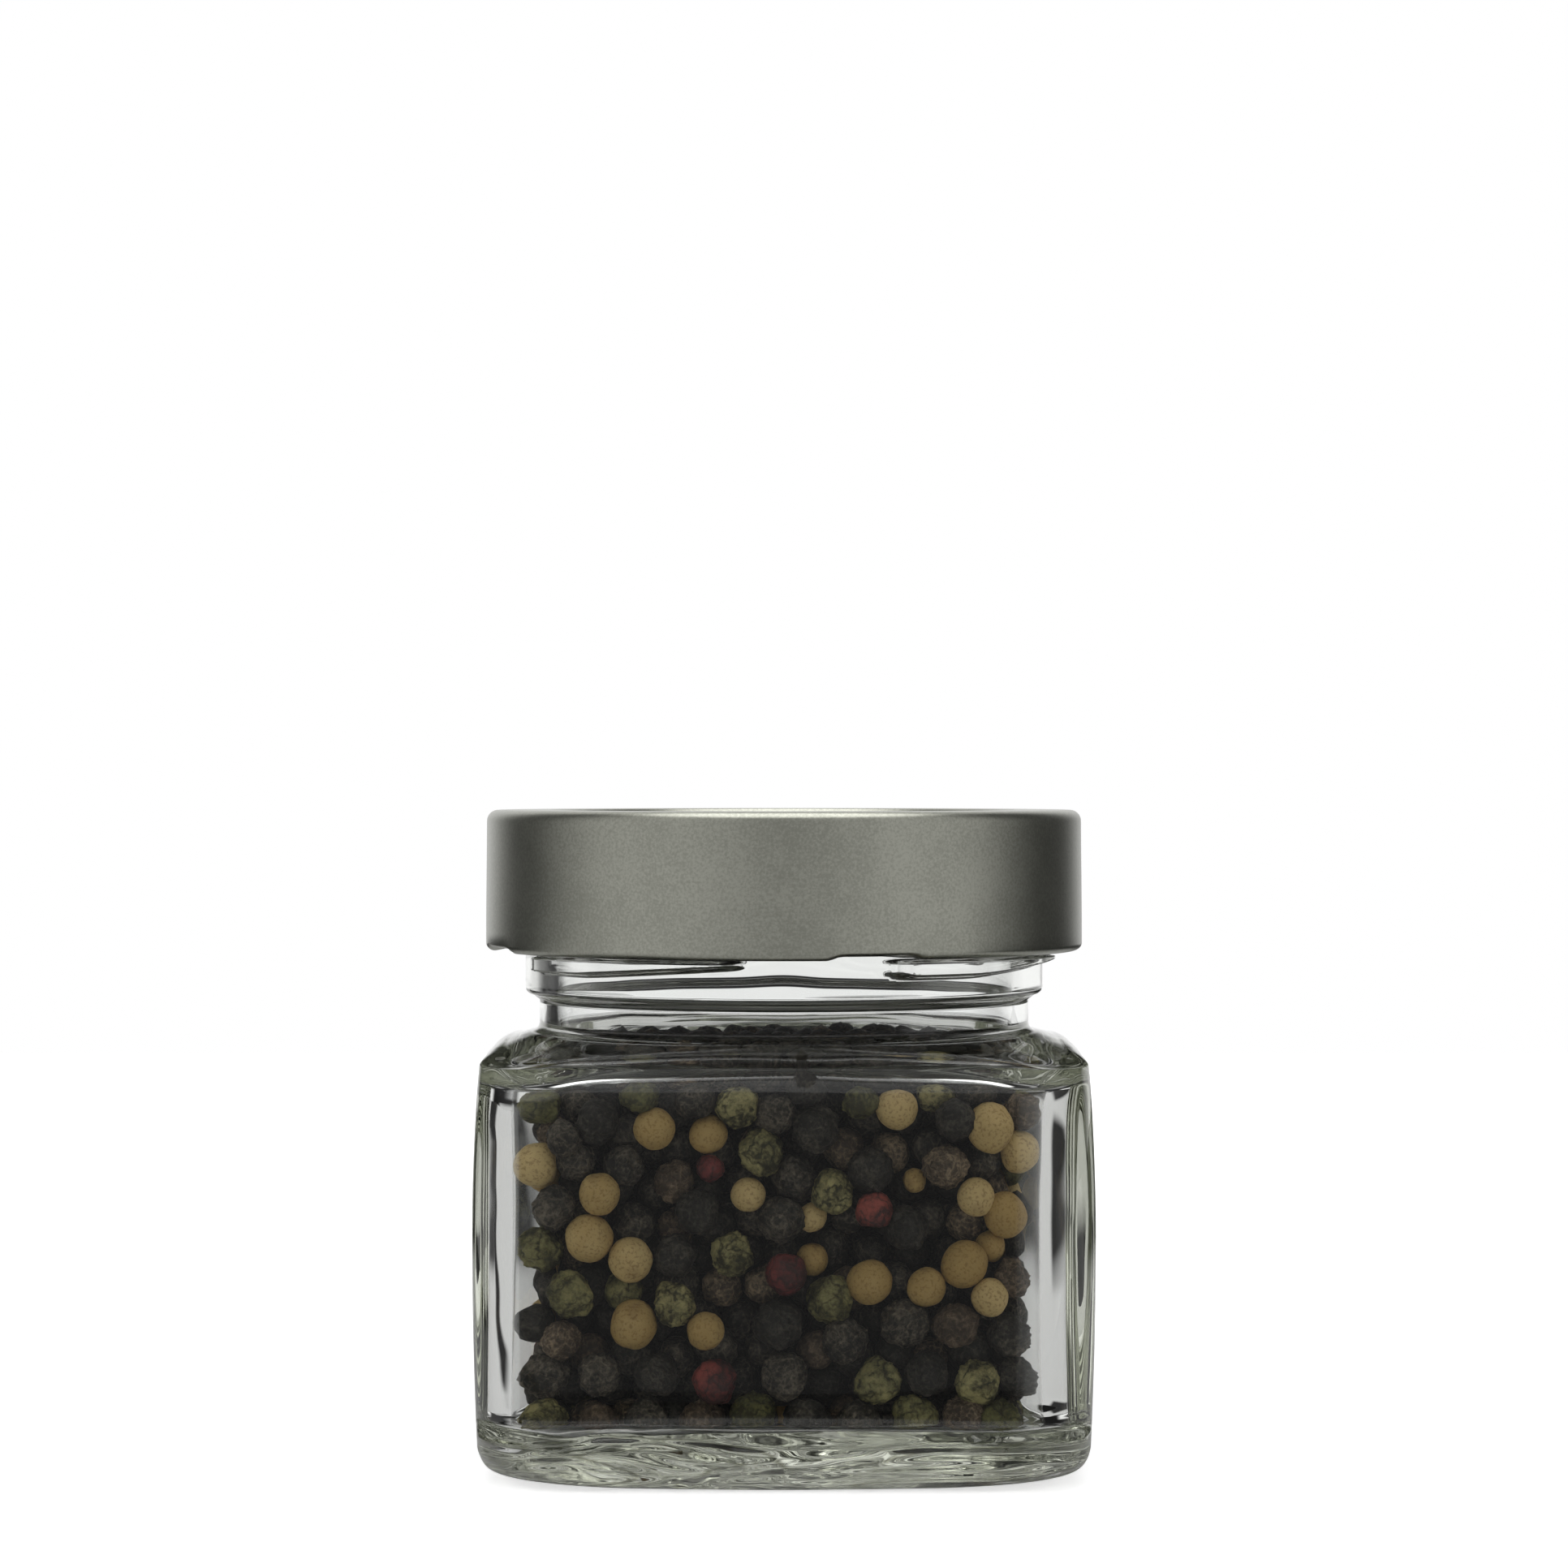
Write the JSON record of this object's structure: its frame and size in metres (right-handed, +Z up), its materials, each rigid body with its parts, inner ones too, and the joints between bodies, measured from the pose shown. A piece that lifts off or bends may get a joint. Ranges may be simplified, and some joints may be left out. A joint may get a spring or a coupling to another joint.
{
  "type": "square glass jar",
  "caption": "Square clear glass jar with a round lug neck, a deep satin metal twist-off lid and a fill of mixed peppercorns.",
  "frame": {"origin": "middle of the underside of the base, on the plane the jar stands on", "axes": "+Z up along the neck and lid axis, -Y towards the viewer of the picture, +X to that viewer's right"},
  "size_m": [0.0694, 0.0694, 0.0745],
  "materials": {
    "clear_glass": "clear soda-lime glass, fire polished, faint green in the thick parts",
    "satin_lid_metal": "satin lacquered tinplate with a fine grain",
    "sealing_compound": "soft matt sealing compound",
    "black_peppercorn": "wrinkled dried berry, near black",
    "white_peppercorn": "smooth dried seed, cream to tan",
    "green_peppercorn": "dried berry, dull olive green",
    "pink_peppercorn": "brittle dried berry, dark red",
    "brown_peppercorn": "wrinkled dried berry, reddish brown"
  },
  "bodies": {
    "jar": {"glass_jar": "clear_glass", "peppercorn_bed": "black_peppercorn", "white_peppercorn_01": "white_peppercorn", "white_peppercorn_02": "white_peppercorn", "white_peppercorn_03": "white_peppercorn", "white_peppercorn_04": "white_peppercorn", "white_peppercorn_05": "white_peppercorn", "white_peppercorn_06": "white_peppercorn", "white_peppercorn_07": "white_peppercorn", "white_peppercorn_08": "white_peppercorn", "white_peppercorn_09": "white_peppercorn", "green_peppercorn_01": "green_peppercorn", "green_peppercorn_02": "green_peppercorn", "green_peppercorn_03": "green_peppercorn", "green_peppercorn_04": "green_peppercorn", "green_peppercorn_05": "green_peppercorn", "pink_peppercorn_01": "pink_peppercorn", "pink_peppercorn_02": "pink_peppercorn", "pink_peppercorn_03": "pink_peppercorn", "pink_peppercorn_04": "pink_peppercorn", "brown_peppercorn_01": "brown_peppercorn", "brown_peppercorn_02": "brown_peppercorn"},
    "seal": {"sealing_ring": "sealing_compound"},
    "lid": {"lid_shell": "satin_lid_metal"}
  },
  "joints": [
    {"name": "lid_lift", "type": "slide", "parent": "jar", "child": "seal", "axis": [0, 0, 1], "range_m": [-0.0039, 0.04]},
    {"name": "lid_turn", "type": "hinge", "parent": "seal", "child": "lid", "pos_m": [0, 0, 0.0582], "axis": [0, 0, 1], "range_deg": [-73, 0]}
  ]
}
